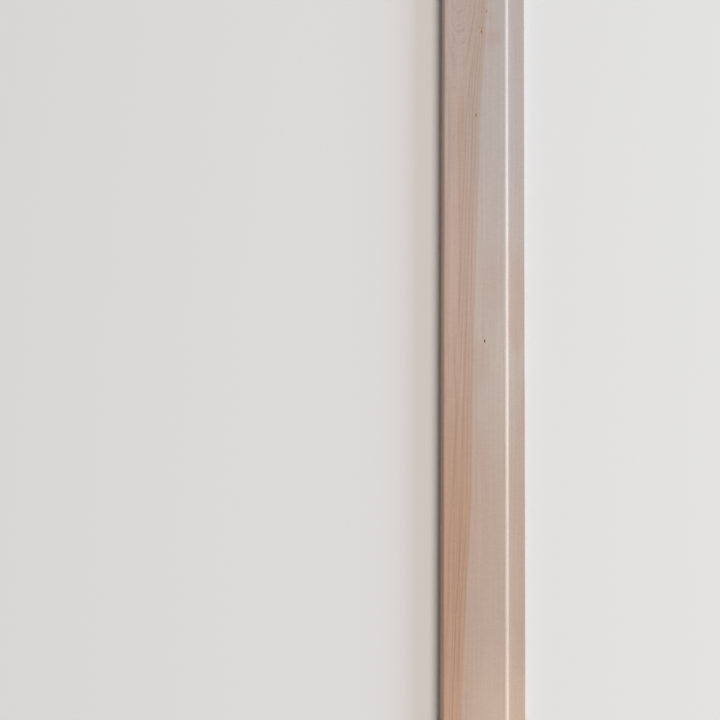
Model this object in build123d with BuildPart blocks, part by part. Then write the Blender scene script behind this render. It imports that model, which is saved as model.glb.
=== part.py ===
from build123d import *
import os

# A wall lining board: one length of moulded hardwood, lying on its back with its face up.
# X runs across the board from the groove to the tongue, Y along it, Z up out of its face.
# The section is drawn with x = 0 at the nose of the groove's lips and z = 0 at the back.

# Board
length = 1000.0
thickness = 14.0
cover_width = 88.0          # from one board's lips to the next board's lips, as laid

# Sunk strip beside the face, on which the shadow line between two boards falls
shelf_width = 11.5
shelf_drop = 5.3            # from the face down to the shelf
shelf_corner_radius = 0.5
edge_radius = 4.5           # the two long rounded edges of the face

# Tongue, whose upper side runs on from the shelf
tongue_reach = 8.0          # beyond the shoulder that the next board's lower lip stops against
tongue_thickness = 4.0      # at its root
tongue_taper = 0.3          # how much thinner it is at its tip
tongue_tip_radius = 1.2
shoulder_radius = 0.4       # inside corner between the shoulder and the tongue

# Groove, which takes the next board's tongue
groove_side_clearance = 0.25
groove_end_clearance = 1.0
groove_bottom_radius = 0.6
groove_mouth_radius = 0.4   # lead-in on the inner edge of each lip

# Back
relief_width = 8.0          # two shallow grooves that keep the back from cupping
relief_depth = 2.0
relief_spacing = 40.0
relief_corner_radius = 0.8
back_arris = 0.5

shelf_level = thickness - shelf_drop
tongue_underside = shelf_level - tongue_thickness
face_width = cover_width - shelf_width
total_width = cover_width + tongue_reach
groove_depth = tongue_reach + groove_end_clearance
groove_floor_level = tongue_underside - groove_side_clearance
groove_roof_level = shelf_level + groove_side_clearance
left_edge = -total_width / 2


def corners(section, *places):
    """The section's corners nearest to these places, given from the lips' nose and the back."""
    found = section.vertices()
    return [found.sort_by_distance((left_edge + x, z))[0] for x, z in places]


with BuildPart() as lining_board:
    with BuildSketch(Plane.XZ) as section:
        # The full body, up to the shoulder
        with Locations((left_edge, 0)):
            Rectangle(cover_width, thickness, align=(Align.MIN, Align.MIN))

        # The sunk strip
        with Locations((left_edge + cover_width, thickness)):
            Rectangle(shelf_width, shelf_drop, align=(Align.MAX, Align.MAX), mode=Mode.SUBTRACT)

        # The tongue, level on top and tapered underneath
        with BuildLine():
            root = left_edge + cover_width
            tip = left_edge + total_width
            Polyline(
                (root, shelf_level),
                (tip, shelf_level),
                (tip, tongue_underside + tongue_taper),
                (root, tongue_underside),
                close=True,
            )
        make_face()

        # The groove
        with Locations((left_edge, groove_floor_level)):
            Rectangle(
                groove_depth,
                groove_roof_level - groove_floor_level,
                align=(Align.MIN, Align.MIN),
                mode=Mode.SUBTRACT,
            )

        # The relief grooves, either side of the back's middle
        with Locations((left_edge + cover_width / 2, 0)):
            with GridLocations(relief_spacing, 1, 2, 1):
                Rectangle(relief_width, relief_depth, align=(Align.CENTER, Align.MIN), mode=Mode.SUBTRACT)

        # The rounded edges of the face
        fillet(corners(section, (0, thickness), (face_width, thickness)), edge_radius)
        fillet(corners(section, (face_width, shelf_level)), shelf_corner_radius)

        # The eased tip of the tongue and the corner at its root
        tip_corners = [(total_width, shelf_level), (total_width, tongue_underside + tongue_taper)]
        fillet(corners(section, *tip_corners), tongue_tip_radius)
        fillet(corners(section, (cover_width, tongue_underside)), shoulder_radius)

        # The groove's bottom and the lead-in at its mouth
        groove_bottom = [(groove_depth, groove_floor_level), (groove_depth, groove_roof_level)]
        fillet(corners(section, *groove_bottom), groove_bottom_radius)
        groove_mouth = [(0, groove_floor_level), (0, groove_roof_level)]
        fillet(corners(section, *groove_mouth), groove_mouth_radius)

        # The inner corners of the relief grooves and the arrises of the back
        relief_corners = [
            (cover_width / 2 + side * relief_spacing / 2 + end * relief_width / 2, relief_depth)
            for side in (-1, 1)
            for end in (-1, 1)
        ]
        fillet(corners(section, *relief_corners), relief_corner_radius)
        chamfer(corners(section, (0, 0), (cover_width, 0)), back_arris)
    extrude(amount=length / 2, both=True)

lining_board.part.label = "lining_board"

os.makedirs("parts", exist_ok=True)
export_step(lining_board.part, "parts/lining_board.step")
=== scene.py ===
import math

import bpy
from mathutils import Matrix, Vector


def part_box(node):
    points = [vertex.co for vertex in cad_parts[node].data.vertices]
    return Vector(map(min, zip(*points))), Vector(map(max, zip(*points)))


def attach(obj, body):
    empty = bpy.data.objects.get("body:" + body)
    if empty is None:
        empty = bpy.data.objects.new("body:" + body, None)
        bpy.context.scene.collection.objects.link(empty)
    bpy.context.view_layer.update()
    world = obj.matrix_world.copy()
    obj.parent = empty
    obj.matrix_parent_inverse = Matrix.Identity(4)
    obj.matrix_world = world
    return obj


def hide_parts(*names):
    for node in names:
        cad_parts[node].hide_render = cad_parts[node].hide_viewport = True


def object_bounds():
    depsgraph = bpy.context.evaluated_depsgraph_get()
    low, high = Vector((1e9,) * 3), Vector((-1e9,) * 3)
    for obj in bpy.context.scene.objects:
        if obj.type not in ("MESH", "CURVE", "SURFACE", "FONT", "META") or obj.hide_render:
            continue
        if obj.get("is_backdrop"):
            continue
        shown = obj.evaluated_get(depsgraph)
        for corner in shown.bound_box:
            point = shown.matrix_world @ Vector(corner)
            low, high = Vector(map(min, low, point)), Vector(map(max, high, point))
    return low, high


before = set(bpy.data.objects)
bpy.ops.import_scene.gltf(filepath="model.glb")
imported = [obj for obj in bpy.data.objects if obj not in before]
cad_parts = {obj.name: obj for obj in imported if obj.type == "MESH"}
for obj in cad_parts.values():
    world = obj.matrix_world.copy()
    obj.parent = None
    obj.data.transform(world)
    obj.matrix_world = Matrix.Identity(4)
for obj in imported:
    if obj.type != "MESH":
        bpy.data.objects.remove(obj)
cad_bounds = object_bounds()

# Lengths are in millimetres here and in the materials, and in metres in Blender's own data.
# X runs across the board from its groove to its tongue, Y along it, Z up out of its face.
METRE = 1000.0

board_low, board_high = (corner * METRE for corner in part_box("lining_board"))
board_length = board_high.y - board_low.y
board_width = board_high.x - board_low.x
thickness = board_high.z - board_low.z

# The moulding's own sizes
tongue_reach = 8.0
tongue_thickness = 4.0
tongue_taper = 0.3
tongue_tip_radius = 1.2
shoulder_radius = 0.4
shelf_width = 11.5
shelf_drop = 5.3
shelf_corner_radius = 0.5
edge_radius = 4.5
groove_side_clearance = 0.25
groove_end_clearance = 1.0
groove_bottom_radius = 0.6
groove_mouth_radius = 0.4
relief_width = 8.0
relief_depth = 2.0
relief_spacing = 40.0
relief_corner_radius = 0.8
relief_arris = 0.3
back_arris = 0.5

cover_width = board_width - tongue_reach
face_width = cover_width - shelf_width
shelf_level = thickness - shelf_drop
tongue_underside = shelf_level - tongue_thickness
groove_depth = tongue_reach + groove_end_clearance
groove_floor = tongue_underside - groove_side_clearance
groove_roof = shelf_level + groove_side_clearance

# Fine relief of the finished mesh
arc_step = 0.3              # length of a facet on the rounded edges
fewest_arc_points = 4
face_step = 0.5             # between the lines of points across the face
slice_step = 20.0           # between the slices along the board, away from the knots
knot_slice_step = 0.5
knot_zone = 6.0             # how far from a knot the slices stay close
knot_reach = 2.2
knot_sink = 0.12
saw_arris = 0.22            # how far the sawn ends are eased
sharp_angle = 40.0          # degrees

# What each point of the board's skeleton is for
SECTION, SPINE, KNOT = range(3)

# Pin knots: place across and along the face, radius, how dark the middle is and how far it stains
knots = [
    (3.2, 405.2, 0.8, 0.56, 0.3),
    (-2.6, 380.9, 0.75, 0.7, 0.6),
    (-2.5, 384.4, 0.6, 0.3, 0.4),
    (-5.6, 385.8, 0.6, 0.35, 0.4),
    (-8.8, 283.0, 0.95, 0.55, 0.3),
    (1.25, 22.6, 0.95, 0.9, 0.4),
]


# Node trees as Python expressions

# The way in which noise fields are shifted, each by its own amount, so that no two are alike
shift_way = (1.0, 1.7, 0.6)


class Link:
    """A socket of a node tree. Arithmetic on it adds Math nodes."""

    def __init__(self, graph, socket):
        self.graph = graph
        self.socket = socket

    def math(self, operation, *others):
        values = dict(enumerate((self, *others)))
        return self.graph.node("ShaderNodeMath", {"operation": operation}, values)

    def __add__(self, other):
        return self.math("ADD", other)

    __radd__ = __add__

    def __mul__(self, other):
        return self.math("MULTIPLY", other)

    __rmul__ = __mul__

    def __sub__(self, other):
        return self.math("SUBTRACT", other)

    def __rsub__(self, other):
        return self.math("MULTIPLY_ADD", -1.0, other)

    def __truediv__(self, other):
        return self.math("DIVIDE", other)

    def __neg__(self):
        return self.math("MULTIPLY", -1.0)

    def __abs__(self):
        return self.math("ABSOLUTE")


class Graph:
    """A node tree, with one way to add a node and a few short names for common ones."""

    def __init__(self, tree):
        self.tree = tree
        tree.nodes.clear()

    def input(self, name, kind):
        """Adds a named input to the tree."""
        self.tree.interface.new_socket(name, in_out="INPUT", socket_type="NodeSocket" + kind)
        return self.node("NodeGroupInput", out=name)

    def output(self, name, link):
        """Gives the tree its result."""
        self.tree.interface.new_socket(name, in_out="OUTPUT", socket_type="NodeSocketGeometry")
        self.node("NodeGroupOutput", {}, {name: link})

    def node(self, kind, settings=None, sockets=None, out=0):
        """Adds a node: its settings, then the values or links of its sockets. Returns one output."""
        made = self.tree.nodes.new(kind)
        for name, value in (settings or {}).items():
            setattr(made, name, value)
        for name, value in (sockets or {}).items():
            if isinstance(value, Link):
                self.tree.links.new(value.socket, made.inputs[name])
            else:
                made.inputs[name].default_value = value
        return Link(self, made.outputs[out]) if len(made.outputs) else None

    def ease(self, value, low, high, start=0.0, end=1.0):
        """A smooth step from start to end while value goes from low to high."""
        sockets = {0: value, 1: low, 2: high, 3: start, 4: end}
        return self.node("ShaderNodeMapRange", {"interpolation_type": "SMOOTHSTEP"}, sockets)

    def join(self, x, y, z):
        return self.node("ShaderNodeCombineXYZ", {}, {0: x, 1: y, 2: z})

    def parts(self, vector):
        separated = self.node("ShaderNodeSeparateXYZ", {}, {0: vector}).socket.node
        return [Link(self, socket) for socket in separated.outputs]

    def vector(self, operation, *vectors, out="Vector", **sockets):
        sockets.update(enumerate(vectors))
        return self.node("ShaderNodeVectorMath", {"operation": operation}, sockets, out=out)

    def blend_numbers(self, amount, first, second):
        return self.node("ShaderNodeMix", {"data_type": "FLOAT"}, {0: amount, 2: first, 3: second})

    def blend(self, amount, first, second, mode="MIX"):
        settings = {"data_type": "RGBA", "blend_type": mode}
        return self.node("ShaderNodeMix", settings, {0: amount, 6: first, 7: second}, out=2)

    def noise(self, place, size, shift, detail=2.0):
        """Noise from about -0.5 to 0.5, with cells of the given size across, along and through."""
        location = tuple(shift * part for part in shift_way)
        sockets = {"Vector": place, "Location": location, "Scale": tuple(1 / length for length in size)}
        spot = self.node("ShaderNodeMapping", {}, sockets)
        sockets = {"Vector": spot, "Scale": 1.0, "Detail": detail}
        return self.node("ShaderNodeTexNoise", {}, sockets) - 0.5


def srgb(red, green, blue):
    """A colour given as on a screen, from 0 to 255, as Blender's linear light."""
    def linear(value):
        share = value / 255
        return share / 12.92 if share <= 0.04045 else ((share + 0.055) / 1.055) ** 2.4
    return linear(red), linear(green), linear(blue), 1.0


# The camera, which looks down on the face from the near end, as the photograph does

photo_size = 720
focal_pixels = 1367.0
lips_pixel = 441.2          # column of the groove's lips, half way up the photograph
pixels_per_mm = 0.882       # there, on the face
camera_tilt = 4.14          # degrees off square, towards the near end
camera_roll = 0.38
camera_sight = 20.0         # metres
sensor_width = 36.0


def add_camera():
    distance = focal_pixels / pixels_per_mm
    aim_x = board_low.x - (lips_pixel - photo_size / 2) / pixels_per_mm
    aim = Vector((aim_x, 0, thickness))
    tilt = math.radians(camera_tilt)
    place = aim + distance * Vector((0, -math.sin(tilt), math.cos(tilt)))
    data = bpy.data.cameras.new("camera")
    data.sensor_width = sensor_width
    data.lens = sensor_width * focal_pixels / photo_size
    data.clip_end = camera_sight
    camera = bpy.data.objects.new("camera", data)
    bpy.context.scene.collection.objects.link(camera)
    turn = Matrix.Rotation(tilt, 4, "X") @ Matrix.Rotation(math.radians(camera_roll), 4, "Z")
    camera.matrix_world = Matrix.Translation(place / METRE) @ turn
    bpy.context.scene.camera = camera


# The studio: a cool lamp low on the tongue's side, a warm one high on the same side, a pale floor

# Lamps: azimuth and elevation in degrees, size in metres, power in watts, colour
lamps = {
    "window_lamp": (6, 13, 3.6, 920, (0.57, 0.84, 1.0)),
    "top_lamp": (350, 62, 5.85, 590, (1.0, 0.945, 0.865)),
}
lamp_distance = 9.0         # metres
sky_colour = (1.0, 0.94, 0.88, 1)
sky_strength = 0.21
floor_colour = (0.805, 0.775, 0.785, 1)
floor_roughness = 0.9
floor_reach = 60.0          # metres, from the middle to each side
floor_drop = 0.0002         # metres, so that the floor and the back are not in one plane


def add_lamp(name, azimuth, elevation, size, power, colour):
    """A square soft lamp that faces the board's middle. Azimuth 0 is +X and 90 is +Y."""
    data = bpy.data.lights.new(name, "AREA")
    data.shape = "SQUARE"
    data.size = size
    data.energy = power
    data.color = colour
    lamp = bpy.data.objects.new(name, data)
    bpy.context.scene.collection.objects.link(lamp)
    turn, lift = math.radians(azimuth), math.radians(elevation)
    way = Vector((math.cos(lift) * math.cos(turn), math.cos(lift) * math.sin(turn), math.sin(lift)))
    facing = way.to_track_quat("Z", "Y").to_matrix().to_4x4()
    lamp.matrix_world = Matrix.Translation(way * lamp_distance) @ facing


def add_studio():
    for name, facts in lamps.items():
        add_lamp(name, *facts)
    world = bpy.data.worlds.new("studio")
    world.use_nodes = True
    background = world.node_tree.nodes["Background"]
    background.inputs["Color"].default_value = sky_colour
    background.inputs["Strength"].default_value = sky_strength
    bpy.context.scene.world = world
    bpy.context.scene.view_settings.view_transform = "Standard"


def floor_paint():
    paint = bpy.data.materials.new("pale_floor")
    paint.use_nodes = True
    shader = paint.node_tree.nodes["Principled BSDF"]
    shader.inputs["Base Color"].default_value = floor_colour
    shader.inputs["Roughness"].default_value = floor_roughness
    return paint


def add_floor():
    mesh = bpy.data.meshes.new("floor")
    sides = ((-1, -1), (1, -1), (1, 1), (-1, 1))
    corners = [(x * floor_reach, y * floor_reach, -floor_drop) for x, y in sides]
    mesh.from_pydata(corners, [], [(0, 1, 2, 3)])
    mesh.materials.append(floor_paint())
    floor = bpy.data.objects.new("floor", mesh)
    bpy.context.scene.collection.objects.link(floor)
    floor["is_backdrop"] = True


# The board's mesh: its section with every corner rounded, run along its length, then capped

def section_corners():
    """The section's corners from the groove's side round: across, up, and the radius of each."""
    middle = cover_width / 2
    corners = [(0, 0, back_arris)]
    for side in (-1, 1):
        left = middle + side * relief_spacing / 2 - relief_width / 2
        right = left + relief_width
        corners += [(left, 0, relief_arris), (left, relief_depth, relief_corner_radius)]
        corners += [(right, relief_depth, relief_corner_radius), (right, 0, relief_arris)]
    corners += [
        (cover_width, 0, back_arris),
        (cover_width, tongue_underside, shoulder_radius),
        (board_width, tongue_underside + tongue_taper, tongue_tip_radius),
        (board_width, shelf_level, tongue_tip_radius),
        (face_width, shelf_level, shelf_corner_radius),
        (face_width, thickness, edge_radius),
        (0, thickness, edge_radius),
        (0, groove_roof, groove_mouth_radius),
        (groove_depth, groove_roof, groove_bottom_radius),
        (groove_depth, groove_floor, groove_bottom_radius),
        (0, groove_floor, groove_mouth_radius),
    ]
    return corners


def slice_places():
    """Where the section is repeated along the board: closer round each knot, and at the eased ends."""
    half = board_length / 2
    places = [-half, saw_arris - half, half - saw_arris, half]
    places += [-half + step * slice_step for step in range(1, int(board_length / slice_step))]
    reach = int(knot_zone / knot_slice_step)
    for across, along, *rest in knots:
        places += [along + step * knot_slice_step for step in range(-reach, reach + 1)]
    kept = []
    for place in sorted(places):
        if not kept or place - kept[-1] > saw_arris / 2:
            kept.append(place)
    return kept


def skeleton_mesh():
    """What the board is grown from, in metres: its section, the line it follows, and its knots.

    The section lies in the XY plane with its face towards -Y, which the sweep along +Y turns to +Z."""
    section = section_corners()
    slices = slice_places()
    points = [((board_low.x + x) / METRE, -z / METRE, 0) for x, z, radius in section]
    points += [(0, place / METRE, 0) for place in slices]
    points += [(across / METRE, along / METRE, thickness / METRE) for across, along, *rest in knots]
    edges = [(i, (i + 1) % len(section)) for i in range(len(section))]
    edges += [(len(section) + i, len(section) + i + 1) for i in range(len(slices) - 1)]
    mesh = bpy.data.meshes.new("skeleton")
    mesh.from_pydata(points, edges, [])
    radii = [radius / METRE for x, z, radius in section] + [0.0] * (len(slices) + len(knots))
    roles = [SECTION] * len(section) + [SPINE] * len(slices) + [KNOT] * len(knots)
    mesh.attributes.new("corner_radius", "FLOAT", "POINT").data.foreach_set("value", radii)
    mesh.attributes.new("role", "INT", "POINT").data.foreach_set("value", roles)
    return mesh


def skeleton_part(graph, skeleton, role):
    """The points and edges of the skeleton that have one role."""
    found = graph.node("GeometryNodeInputNamedAttribute", {"data_type": "INT"}, {"Name": "role"})
    settings = {"data_type": "INT", "operation": "EQUAL"}
    chosen = graph.node("FunctionNodeCompare", settings, {2: found, 3: role})
    return graph.node("GeometryNodeSeparateGeometry", {}, {"Geometry": skeleton, "Selection": chosen})


def whole(graph, number):
    return graph.node("FunctionNodeFloatToInt", {"rounding_mode": "FLOOR"}, {0: number})


def rounded_section(graph, corners, arc_length, face_gap, flat_level):
    """The section as a curve, with enough points on each arc and across the flat of the face."""
    ring = graph.node("GeometryNodeMeshToCurve", {}, {"Mesh": corners})
    settings = {"data_type": "FLOAT"}
    radius = graph.node("GeometryNodeInputNamedAttribute", settings, {"Name": "corner_radius"})
    steps = (radius * (math.pi / 2) / arc_length).math("MAXIMUM", fewest_arc_points)
    sockets = {"Curve": ring, "Count": whole(graph, steps), "Radius": radius}
    ring = graph.node("GeometryNodeFilletCurve", {"mode": "POLY"}, sockets)

    # More points across the flat of the face, where the knots are sunk
    place = graph.node("GeometryNodeInputPosition")
    following = graph.node(
        "GeometryNodeFieldAtIndex",
        {"data_type": "FLOAT_VECTOR", "domain": "POINT"},
        {"Index": graph.node("GeometryNodeInputIndex") + 1, "Value": place},
    )
    gap = graph.vector("DISTANCE", place, following, out="Value")
    on_face = (-graph.parts(place)[1]).math("GREATER_THAN", flat_level)
    cuts = whole(graph, gap / face_gap * on_face)
    ring = graph.node("GeometryNodeSubdivideCurve", {}, {"Curve": ring, "Cuts": cuts})

    # Which way is outwards at each point, once the section stands up
    along_x, along_y, along_z = graph.parts(graph.node("GeometryNodeInputTangent"))
    outward = graph.join(-along_y, 0.0, -along_x)
    settings = {"data_type": "FLOAT_VECTOR", "domain": "POINT"}
    sockets = {0: ring, "Name": "outward", 3: outward}
    return graph.node("GeometryNodeStoreNamedAttribute", settings, sockets)


def swept_board(graph, section, line, length, arris):
    """The section run along the board and capped, with the sawn ends eased."""
    spine = graph.node("GeometryNodeMeshToCurve", {}, {"Mesh": line})
    sockets = {"Curve": spine, "Profile Curve": section, "Fill Caps": True}
    board = graph.node("GeometryNodeCurveToMesh", {}, sockets)
    settings = {"data_type": "FLOAT_VECTOR"}
    outward = graph.node("GeometryNodeInputNamedAttribute", settings, {"Name": "outward"})
    inset = graph.vector("SCALE", outward, Scale=-arris)
    along = graph.parts(graph.node("GeometryNodeInputPosition"))[1]
    at_end = abs(along).math("GREATER_THAN", length / 2 - arris / 2)
    sockets = {"Geometry": board, "Selection": at_end, "Offset": inset}
    return graph.node("GeometryNodeSetPosition", {}, sockets)


def sunk_knots(graph, board, points, reach, sink):
    """The board with its knots sunk, where they dried more than the wood round them."""
    settings = {"target_element": "POINTS"}
    distance = graph.node("GeometryNodeProximity", settings, {0: points}, out="Distance")
    offset = graph.join(0.0, 0.0, graph.ease(distance, 0.0, reach, -sink, 0.0))
    near = distance.math("LESS_THAN", reach)
    sockets = {"Geometry": board, "Selection": near, "Offset": offset}
    return graph.node("GeometryNodeSetPosition", {}, sockets)


def board_tree():
    """Geometry nodes that round the section's corners, sweep it along the board and sink the knots."""
    tree = bpy.data.node_groups.new("moulded_board", "GeometryNodeTree")
    graph = Graph(tree)
    skeleton = graph.input("Skeleton", "Geometry")
    length = graph.input("Length", "Float")
    face_level = graph.input("Face Level", "Float")
    arc_length = graph.input("Arc Step", "Float")
    face_gap = graph.input("Face Step", "Float")
    arris = graph.input("Saw Arris", "Float")
    reach = graph.input("Knot Reach", "Float")
    sink = graph.input("Knot Sink", "Float")
    wood = graph.input("Wood", "Material")

    corners = skeleton_part(graph, skeleton, SECTION)
    section = rounded_section(graph, corners, arc_length, face_gap, face_level - arris)
    board = swept_board(graph, section, skeleton_part(graph, skeleton, SPINE), length, arris)
    board = sunk_knots(graph, board, skeleton_part(graph, skeleton, KNOT), reach, sink)

    # Faces outwards, and smooth but for the real arrises
    board = graph.node("GeometryNodeFlipFaces", {}, {0: board})
    sockets = {0: board, "Shade Smooth": True}
    board = graph.node("GeometryNodeSetShadeSmooth", {"domain": "FACE"}, sockets)
    angle = graph.node("GeometryNodeInputMeshEdgeAngle")
    sharp = angle.math("GREATER_THAN", math.radians(sharp_angle))
    sockets = {0: board, "Selection": sharp, "Shade Smooth": False}
    board = graph.node("GeometryNodeSetShadeSmooth", {"domain": "EDGE"}, sockets)
    board = graph.node("GeometryNodeRealizeInstances", {}, {0: board})
    board = graph.node("GeometryNodeSetMaterial", {}, {"Geometry": board, "Material": wood})
    graph.output("Board", board)
    return tree


def make_board(wood):
    grown = bpy.data.objects.new("grown_board", skeleton_mesh())
    bpy.context.scene.collection.objects.link(grown)
    modifier = grown.modifiers.new("mould", "NODES")
    modifier.node_group = board_tree()
    values = {
        "Length": board_length / METRE,
        "Face Level": thickness / METRE,
        "Arc Step": arc_step / METRE,
        "Face Step": face_step / METRE,
        "Saw Arris": saw_arris / METRE,
        "Knot Reach": knot_reach / METRE,
        "Knot Sink": knot_sink / METRE,
        "Wood": wood,
    }
    for item in modifier.node_group.interface.items_tree:
        if item.name in values:
            modifier[item.identifier] = values[item.name]
    grown.modifiers.new("flat_normals", "WEIGHTED_NORMAL").keep_sharp = True
    mesh = bpy.data.meshes.new_from_object(grown.evaluated_get(bpy.context.evaluated_depsgraph_get()))
    bpy.data.objects.remove(grown)
    mesh.name = "lining_board_wood"
    board = bpy.data.objects.new("lining_board_wood", mesh)
    bpy.context.scene.collection.objects.link(board)
    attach(board, "root")
    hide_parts("lining_board")
    return board


# The wood: growth rings round a pith that lies under the face, so every cut shows its own figure

# Where the pith lies: under the left of the face, rising and crossing towards the far end
pith_near_x = -46.6
pith_middle_x = -35.6
pith_far_x = -28.0
pith_depth = 56.2
pith_rise = 1.4
pith_swell = 6.5
pith_sway = 3.0

# The stretch over which the figure was drawn from the photograph, and the share of it at which the
# figure stops changing
figure_start = -402.0
figure_length = 819.0
figure_stop = 1.08

# Rings and heartwood, measured from the pith
heart_radius = 60.0
heart_edge_blur = 0.5
heart_edge_far_blur = (0.7, 0.6)    # more at the far end, inside and outside the edge
heart_line_place = 0.3              # how far inside the edge the thin line along it lies
heart_line_reach = 0.5
inner_radius = 55.12                # inside this the heartwood is paler
inner_blur = (0.25, 0.15)           # inside and outside it
ring_step = 0.65
tight_radius = 54.6                 # the rings inside this are closer
tight_step = 0.29
tight_blur = 0.4
flattening = 6.0                    # half the width over which the rings are flatter, above the pith
ring_warp = 0.6
ring_drift = 0.8                    # how far the rings' spacing varies, in rings

# The dark line of one ring over its age from 0 to 1: a slow darkening, then where it rises and falls,
# both for the wide rings and for the soft ones inside tight_radius
slow_darkening = 0.25
late_rise = (0.6, 0.9)
late_fall = (0.93, 1.0)
soft_rise = (0.2, 0.7)
soft_fall = (0.75, 1.0)
late_strength = (0.2, 0.8)          # at least, and how much more by chance
soft_strength = (0.1, 0.6)

# Rings that stand out: distance from the pith, strength, half the width
strong_rings = [
    (53.75, 0.5, 0.45),
    (56.1, 0.2, 0.25),
    (57.12, 0.75, 0.22),
    (58.35, 0.6, 0.25),
    (59.8, 0.1, 0.25),
]
strong_ring_core = 0.04

# Where the rings show, measured to the side of the pith: fainter above it, and again to its left
above_pith = 2.0
left_fade = (-14.0, -5.0, 0.2, 1.0)

# Smooth changes along the board: the start and end of each as shares of the figure's length, and where
# they are not 0 and 1, the values before and after it
first_crossing = (-0.02, 0.36, pith_near_x, pith_middle_x)
second_crossing = (0.45, 0.98)
pith_rising = (0.2, 0.75)
pith_swelling = (0.82, 1.12)
strong_ring_shift = (0.22, 0.3, 0.0, 0.18)
loops_show = (0.92, 0.95, 0.1, 1.0)
rings_begin = (0.2, 0.34, 8.0, 13.0)
near_half = (0.24, 0.6, 1.0, 0.0)
far_half = (0.52, 0.88)
inner_edge_shift = (0.6, 0.68, 0.0, 0.22)
blush_fades = (0.5, 0.8, 0.6, 0.1)
cream_fades = (0.0, 0.13, 1.0, 0.0)
heart_end_fades = (0.0, 0.1, 0.9, 0.0)
inner_cools = (0.8, 0.92)
rose_starts = (0.5, 0.7)
rose_stops = (0.82, 0.9, 1.0, 0.0)

# The dark seam beside the ring lines, as smooth changes along the board: its place to the side of the
# pith, which three of them make up, and where it ends
seam_comes_in = (0.15, 0.25, 2.2, 0.0)
seam_goes_out = (0.26, 0.42, -0.4, 4.3)
seam_turns_back = (0.42, 0.5, 0.0, 1.7)
seam_ends = (0.48, 0.6, 1.0, 0.0)

# Profiles across a soft line: half its core, half its width, and its strength there and at its edge
seam_profile = (0.3, 2.2, 0.22, 0.0)
rose_profile = (1.0, 5.0, 0.38, 0.0)

# Noise fields: the size of a cell across, along and through, a shift of its own, and fine detail
sway_field = ((80, 230, 80), 3.1)
warp_field = ((7, 110, 7), 8.3)
drift_field = ((30, 300, 30), 5.7)
blush_field = ((26, 140, 26), 1.9, 3)
warmth_field = ((5, 160, 5), 6.6)
cloud_field = ((40, 150, 40), 4.4, 3)
fine_streak_field = ((0.9, 60, 0.9), 2.3)
broad_streak_field = ((3.2, 190, 3.2), 6.1)
heart_streak_field = ((1.3, 110, 1.3), 4.9)
thread_field = ((1.1, 260, 1.1), 12.7)
fibre_field = ((0.3, 7, 0.3), 7.7)
ripple_field = ((7, 2.0, 7), 9.2)
pore_field = ((0.35, 2, 0.35), 3.3)
ray_field = ((0.35, 1, 9), 1.1)     # in degrees round the pith, and in millimetres from it
knot_cells = (0.8, 1.6, 0.8)

# Colours of the planed wood, from 0 to 255. Their change along the board is partly the wood's own and
# partly painted light: painted cool light on the far end, painted warm light on the near end
inner_middle = (195, 168, 155)
inner_far = (189, 166, 158)
heart_end = (196, 155, 131)
heart_near = (187, 148, 125)
heart_middle = (194, 163, 151)
heart_far = (186, 163, 154)
sap_near = (191, 165, 152)
sap_middle = (195, 178, 170)
sap_far = (190, 175, 172)
sap_blush = (190, 160, 147)
sap_cream = (202, 174, 156)
patch_rose = (188, 165, 157)
ochre = (191, 156, 128)
heart_rose = (187, 150, 141)
ring_tint = (205, 176, 158)
halo_tint = (255, 205, 165)
knot_colour = (74, 34, 14)
end_tint = (176, 142, 116)

# How far the colours reach, and how strong they are
blush_above = (0.0, 0.16)           # of its noise
blush_beside_heart = 14.0
blush_beside_strength = 0.8
cream_across = (-38.0, 4.0)
warmth_above = (0.0, 0.2)           # of its noise
warmth_strength = 0.3
inner_warmth_loss = 0.22
rose_place = 6.0                    # to the side of the pith

# How much each marking lightens or darkens the wood
streak_tone = 0.15
heart_streak_tone = 0.2
cloud_tone = 0.07
fibre_tone = 0.08
heart_fibre_tone = 0.06
ripple_tone = 0.13
thread_above = (0.0, 0.14)          # of its noise
thread_tone = 0.07
near_thread_tone = 0.12
sap_ring_tone = 0.25
heart_ring_tone = 0.5
end_ring_loss = 0.15
heart_line_tone = 0.06
band_tone = 0.18

# The darker band left of the rings towards the far end: place, reach, share that is firm, turn in degrees
band_oval = ((-27.0, 262.0), (6.5, 95.0), 0.2, -1.5)

# How a pin knot looks, its lengths in radii of the knot
knot_stretch = 2.4                  # how much longer than wide it shows
knot_climb = 0.25
knot_wander = 0.6                   # millimetres
knot_push_reach = 4.0
knot_push = 0.7
knot_core = 0.4
stain_reach = (3.3, 7.3)

# Tan marks and fine lines on the face: place, reach across and along, turn in degrees, strength
flecks = [
    ((-34.4, 256.0), (1.3, 6.2), 8.0, 0.38),
    ((-33.5, 134.4), (1.2, 6.0), -17.0, 0.36),
    ((-33.8, 314.9), (4.6, 2.2), 10.0, 0.26),
    ((-28.6, 65.0), (0.9, 34.0), -10.5, 0.16),
    ((-36.9, 46.4), (0.9, 9.0), 32.0, 0.14),
]
fleck_firmness = 0.2                # the share of a fleck that is firm, from its middle

# Patches of another shade in the sapwood: place, reach across and along, strength, colour
patches = [
    ((10.0, 374.0), (20.0, 19.0), 0.9, patch_rose),
    ((9.5, 399.0), (9.0, 8.0), 0.6, patch_rose),
    ((6.0, 90.0), (26.0, 75.0), 0.45, sap_blush),
    ((-3.0, -45.0), (13.0, 95.0), 0.6, sap_middle),
    ((-19.0, -345.0), (13.0, 90.0), 0.4, ochre),
]

# The sawn ends: how near the end they start, and how light each thing on them is
end_zone = (0.3, 0.2)
end_tint_strength = 0.35
end_light = 0.86
end_rays = 0.16
end_pores = 0.12
end_rings = 0.16
degrees_in_radian = 57.3

# Marks left by the saw on the ends and by the planer along the board
saw_centre = (60.0, 0.0, -140.0)
saw_pitch = 1.3
planer_pitch = 1.6
back_zone = (2.2, 2.6, 1.0, 0.0)    # the height up to which the surface is the back's

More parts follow.
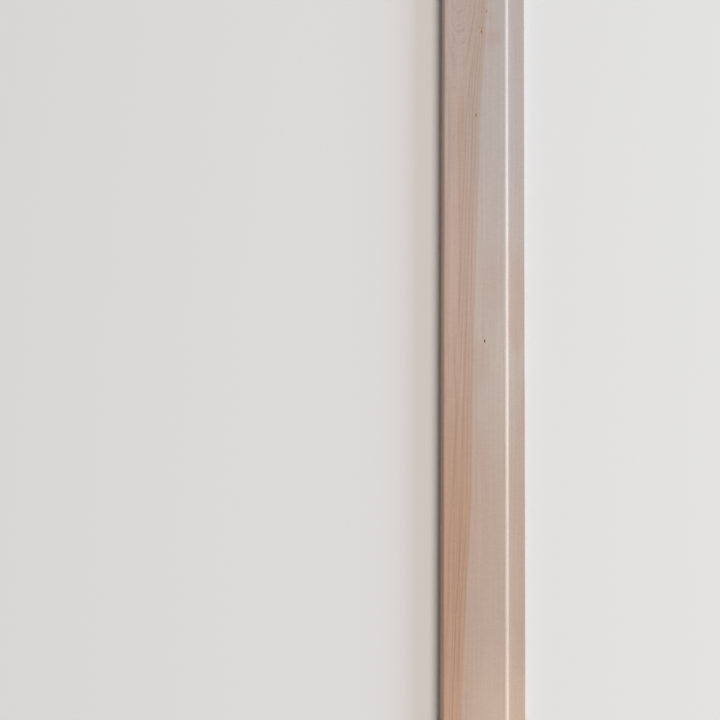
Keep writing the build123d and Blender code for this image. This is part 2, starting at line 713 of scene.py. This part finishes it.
# Height of the surface's fine relief
saw_height = 0.03
pore_height = 0.05
fibre_height = 0.006
ripple_height = 0.005
planer_height = 0.0015
planer_height_on_back = 0.006
knot_hollow = 0.03

# How matt the surface is, and its thin coat of finish
planed_roughness = 0.54
fibre_roughness = 0.1
ring_smoothness = 0.04
back_roughness = 0.06
knot_roughness = 0.1
sawn_roughness = 0.78
refraction = 1.45
coat = 0.12
coat_lost_on_knots = 0.1
coat_roughness = 0.36


class Timber:
    """What wood is at each point, from Object coordinates: pith, knots, rings and heartwood."""

    def __init__(self, graph):
        self.graph = graph
        place = graph.node("ShaderNodeTexCoord", out="Object")
        self.spot = graph.vector("SCALE", place, Scale=METRE)
        self.across, self.along, self.up = graph.parts(self.spot)
        share = (self.along - figure_start) / figure_length
        self.share = share.math("MAXIMUM", 0.0).math("MINIMUM", figure_stop)
        self.near_end = self.change(near_half)
        self.far_end = self.change(far_half)
        self.fibres = self.noise(fibre_field)
        self.ripple = self.noise(ripple_field)
        self.pores = self.noise(pore_field)
        self.find_pith()
        self.find_knots()
        self.find_rings()
        self.find_heartwood()

    def change(self, stretch):
        """A smooth change along the board."""
        return self.graph.ease(self.share, *stretch)

    def noise(self, field):
        return self.graph.noise(self.spot, *field)

    def oval(self, middle, reach, firm, turn=0.0):
        """1 within an oval on the face, fading to 0 at its edge from the share that is firm."""
        sockets = {
            "Vector": self.spot,
            "Location": (*middle, thickness),
            "Rotation": (0, 0, math.radians(turn)),
            "Scale": (*reach, min(reach)),
        }
        local = self.graph.node("ShaderNodeMapping", {"vector_type": "TEXTURE"}, sockets)
        return self.graph.ease(self.graph.vector("LENGTH", local, out="Value"), firm, 1.0, 1.0, 0.0)

    def find_pith(self):
        """How far each point lies to the side of the pith, above it, and out from it."""
        pith_across = self.change(first_crossing)
        pith_across = pith_across + self.change(second_crossing) * (pith_far_x - pith_middle_x)
        below = pith_depth - self.change(pith_rising) * pith_rise
        below = below - self.change(pith_swelling) * pith_swell
        self.from_side = self.across - pith_across + self.noise(sway_field) * pith_sway
        self.from_below = self.up - thickness + below
        spread = self.from_side * self.from_side
        spread = spread * spread / (spread + flattening ** 2)
        radius = (spread + self.from_below * self.from_below).math("SQRT")
        self.radius = radius + self.noise(warp_field) * ring_warp

    def find_knots(self):
        """Knots, which run out from the pith, push the rings aside and stain the wood along them."""
        graph = self.graph
        self.cores, self.halo = 0.0, 0.0
        squash = Vector((1.0, 1 / knot_stretch, 1.0))
        for across, along, size, darkness, stain in knots:
            axis = Vector((pith_middle_x - across, -knot_climb * pith_depth, -pith_depth)) * squash
            offset = graph.vector("SUBTRACT", self.spot, Vector((across, along, thickness)))
            offset = graph.vector("MULTIPLY", offset, squash)
            offset = graph.vector("CROSS_PRODUCT", offset, axis.normalized())
            distance = graph.vector("LENGTH", offset, out="Value")
            distance = distance + self.noise((knot_cells, along)) * knot_wander
            pushed = graph.ease(distance, 0.0, size * knot_push_reach, size * knot_push, 0.0)
            self.radius = self.radius + pushed
            core = graph.ease(distance, size * knot_core, size, darkness, 0.0)
            self.cores = core.math("MAXIMUM", self.cores)
            reach = tuple(size * part for part in stain_reach)
            streak = self.oval((across, along), reach, firm=0.0) * stain
            self.halo = streak.math("MAXIMUM", self.halo)

    def find_rings(self):
        """Growth rings, each a thin dark line after a slow darkening and of its own strength."""
        graph = self.graph
        count = (self.radius - heart_radius) / ring_step
        closer = 1 / tight_step - 1 / ring_step
        count = count + (self.radius - tight_radius).math("MINIMUM", 0.0) * closer
        count = count + self.noise(drift_field) * ring_drift
        age = count.math("FRACT")
        settings = {"noise_dimensions": "1D"}
        sockets = {"W": count.math("FLOOR")}
        chance = graph.node("ShaderNodeTexWhiteNoise", settings, sockets, out="Value")
        late = graph.ease(age, *late_rise) * graph.ease(age, *late_fall, 1.0, 0.0)
        late = age * slow_darkening + late
        least, more = late_strength
        rings = late * (chance * chance * more + least)
        least, more = soft_strength
        soft = graph.ease(age, *soft_rise) * graph.ease(age, *soft_fall, 1.0, 0.0)
        soft = soft * (chance * more + least)
        wide = graph.ease(self.radius, tight_radius, tight_radius + tight_blur)
        rings = graph.blend_numbers(wide, soft, rings)
        radius = self.radius + self.change(strong_ring_shift)
        for line, strength, width in strong_rings:
            rings = rings + graph.ease(abs(radius - line), strong_ring_core, width, strength, 0.0)
        self.rings = rings
        begin = self.change(rings_begin)
        seen = graph.ease(abs(self.from_side), above_pith, begin, self.change(loops_show), 1.0)
        self.seen_rings = rings * seen * graph.ease(self.from_side, *left_fade)

    def find_heartwood(self):
        """Where the heartwood is, its paler inside, and the thin line along its edge."""
        graph = self.graph
        blur_inside, blur_outside = heart_edge_far_blur
        inside = heart_radius - heart_edge_blur - self.far_end * blur_inside
        outside = heart_radius + heart_edge_blur + self.far_end * blur_outside
        self.heart = graph.ease(self.radius, inside, outside, 1.0, 0.0)
        blur_inside, blur_outside = inner_blur
        edge = inner_radius - self.change(inner_edge_shift)
        self.inner = graph.ease(self.radius, edge - blur_inside, edge + blur_outside, 1.0, 0.0)
        from_line = abs(self.radius - heart_radius + heart_line_place)
        self.edge_line = graph.ease(from_line, 0.0, heart_line_reach, 1.0, 0.0)


def graded(timber, near, middle, far):
    """A colour that changes from the near end of the board to the far one: partly the wood's own change,
    partly painted warm light at the near end and painted cool light at the far end.
    """
    colour = timber.graph.blend(timber.near_end, srgb(*middle), srgb(*near))
    return timber.graph.blend(timber.far_end, colour, srgb(*far))


def sapwood_colour(timber):
    graph = timber.graph
    # Painted cool light on the far end and painted warm light on the near end, mixed with the sapwood's
    # own change along the board
    colour = graded(timber, sap_near, sap_middle, sap_far)
    blush = graph.ease(timber.noise(blush_field), *blush_above) * timber.change(blush_fades)
    reach = heart_radius + blush_beside_heart
    beside = graph.ease(timber.radius, heart_radius, reach, blush_beside_strength, 0.0)
    colour = graph.blend(blush + beside * timber.near_end, colour, srgb(*sap_blush))
    cream = timber.change(cream_fades) * graph.ease(timber.across, *cream_across)
    colour = graph.blend(cream, colour, srgb(*sap_cream))
    for middle, reach, strength, tint in patches:
        patch = timber.oval(middle, reach, firm=0.0)
        colour = graph.blend(patch * strength, colour, srgb(*tint))
    return colour


def heartwood_colour(timber):
    graph = timber.graph
    # Painted warm light at the near end, also in the warmer tone at the very near end, and painted cool
    # light at the far end, mixed with the heartwood's own change
    colour = graded(timber, heart_near, heart_middle, heart_far)
    colour = graph.blend(timber.change(heart_end_fades), colour, srgb(*heart_end))
    # The paler inside turns cooler towards the far end, partly painted cool light
    inside = graph.blend(timber.change(inner_cools), srgb(*inner_middle), srgb(*inner_far))
    colour = graph.blend(timber.inner, colour, inside)
    warmth = graph.ease(timber.noise(warmth_field), *warmth_above)
    warmth = warmth * (warmth_strength - timber.inner * inner_warmth_loss)
    colour = graph.blend(warmth, colour, srgb(*ochre))
    rose = graph.ease(abs(timber.from_side - rose_place), *rose_profile)
    rose = rose * timber.change(rose_starts) * timber.change(rose_stops)
    return graph.blend(rose, colour, srgb(*heart_rose))


def grained(timber, colour):
    """The colour with its streaks, clouds, fibres and ripple, and threads in the heartwood."""
    graph = timber.graph
    streaks = timber.noise(fine_streak_field) + timber.noise(broad_streak_field)
    tone = 1 + streaks * streak_tone
    tone = tone + timber.noise(heart_streak_field) * timber.heart * heart_streak_tone
    tone = tone + timber.noise(cloud_field) * cloud_tone
    tone = tone + timber.fibres * (timber.heart * heart_fibre_tone + fibre_tone)
    tone = tone + timber.ripple * ripple_tone
    colour = graph.vector("SCALE", colour, Scale=tone)
    thread = graph.ease(timber.noise(thread_field), *thread_above) * timber.heart
    thread = thread * (timber.near_end * near_thread_tone + thread_tone)
    return graph.blend(thread, colour, srgb(*ring_tint), mode="MULTIPLY")


def ringed(timber, colour):
    """The colour with its ring lines, the heartwood's edge line, the dark seam and the dark band."""
    graph = timber.graph
    contrast = graph.blend_numbers(timber.heart, sap_ring_tone, heart_ring_tone)
    fade = 1 - timber.far_end * end_ring_loss - timber.near_end * end_ring_loss
    lines = timber.seen_rings * contrast * fade + timber.edge_line * heart_line_tone
    place = timber.change(seam_goes_out) - timber.change(seam_turns_back)
    place = place + timber.change(seam_comes_in)
    seam = graph.ease(abs(timber.from_side - place), *seam_profile)
    lines = lines + seam * timber.change(seam_ends)
    lines = lines + timber.oval(*band_oval) * band_tone
    return graph.blend(lines, colour, srgb(*ring_tint), mode="MULTIPLY")


def marked(timber, colour):
    """The colour with its knots, the stains round them and the small tan marks."""
    graph = timber.graph
    colour = graph.blend(timber.halo, colour, srgb(*halo_tint), mode="MULTIPLY")
    colour = graph.blend(timber.cores, colour, srgb(*knot_colour))
    for middle, reach, turn, strength in flecks:
        fleck = timber.oval(middle, reach, fleck_firmness, turn)
        colour = graph.blend(fleck * strength, colour, srgb(*halo_tint), mode="MULTIPLY")
    return colour


def end_grain(timber, colour):
    """The colour of a sawn end: darker, with rings, rays and pores."""
    graph = timber.graph
    way = timber.from_side.math("ARCTAN2", timber.from_below) * degrees_in_radian
    rays = graph.noise(graph.join(way, 0.0, timber.radius), *ray_field)
    tone = end_light + rays * end_rays + timber.pores * end_pores - timber.rings * end_rings
    colour = graph.blend(end_tint_strength, colour, srgb(*end_tint))
    return graph.vector("SCALE", colour, Scale=tone)


def surface_normal(timber, end, back):
    """Bumps of the planed wood, and of the saw on the ends."""
    graph = timber.graph
    from_saw = graph.vector("LENGTH", graph.vector("SUBTRACT", timber.spot, saw_centre), out="Value")
    sawn = (from_saw * (2 * math.pi / saw_pitch)).math("SINE") * saw_height
    sawn = sawn + timber.pores * pore_height
    planer = (timber.along * (2 * math.pi / planer_pitch)).math("SINE")
    planed = timber.fibres * fibre_height + timber.ripple * ripple_height
    planed = planed + planer * (planer_height + back * planer_height_on_back)
    planed = planed - timber.cores * knot_hollow
    height = graph.blend_numbers(end, planed, sawn)
    sockets = {"Strength": 1.0, "Distance": 1 / METRE, "Height": height}
    return graph.node("ShaderNodeBump", {}, sockets)


def surface_roughness(timber, end, back):
    rough = planed_roughness + timber.fibres * fibre_roughness - timber.rings * ring_smoothness
    rough = rough + back * back_roughness + timber.cores * knot_roughness
    return timber.graph.blend_numbers(end, rough, sawn_roughness)


def wood_material():
    wood = bpy.data.materials.new("wood")
    wood.use_nodes = True
    graph = Graph(wood.node_tree)
    timber = Timber(graph)
    end_start, end_full = (board_length / 2 - inset for inset in end_zone)
    end = graph.ease(abs(timber.along), end_start, end_full)
    back = graph.ease(timber.up, *back_zone)
    colour = graph.blend(timber.heart, sapwood_colour(timber), heartwood_colour(timber))
    colour = marked(timber, ringed(timber, grained(timber, colour)))
    colour = graph.blend(end, colour, end_grain(timber, colour))
    sockets = {
        "Base Color": colour,
        "Roughness": surface_roughness(timber, end, back),
        "Normal": surface_normal(timber, end, back),
        "IOR": refraction,
        "Coat Weight": coat - timber.cores * coat_lost_on_knots,
        "Coat Roughness": coat_roughness,
    }
    shader = graph.node("ShaderNodeBsdfPrincipled", {}, sockets)
    graph.node("ShaderNodeOutputMaterial", {}, {"Surface": shader})
    return wood


add_camera()
add_studio()
add_floor()
make_board(wood_material())

visual_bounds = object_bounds()
[[list(corner) for corner in box] for box in (cad_bounds, visual_bounds)]
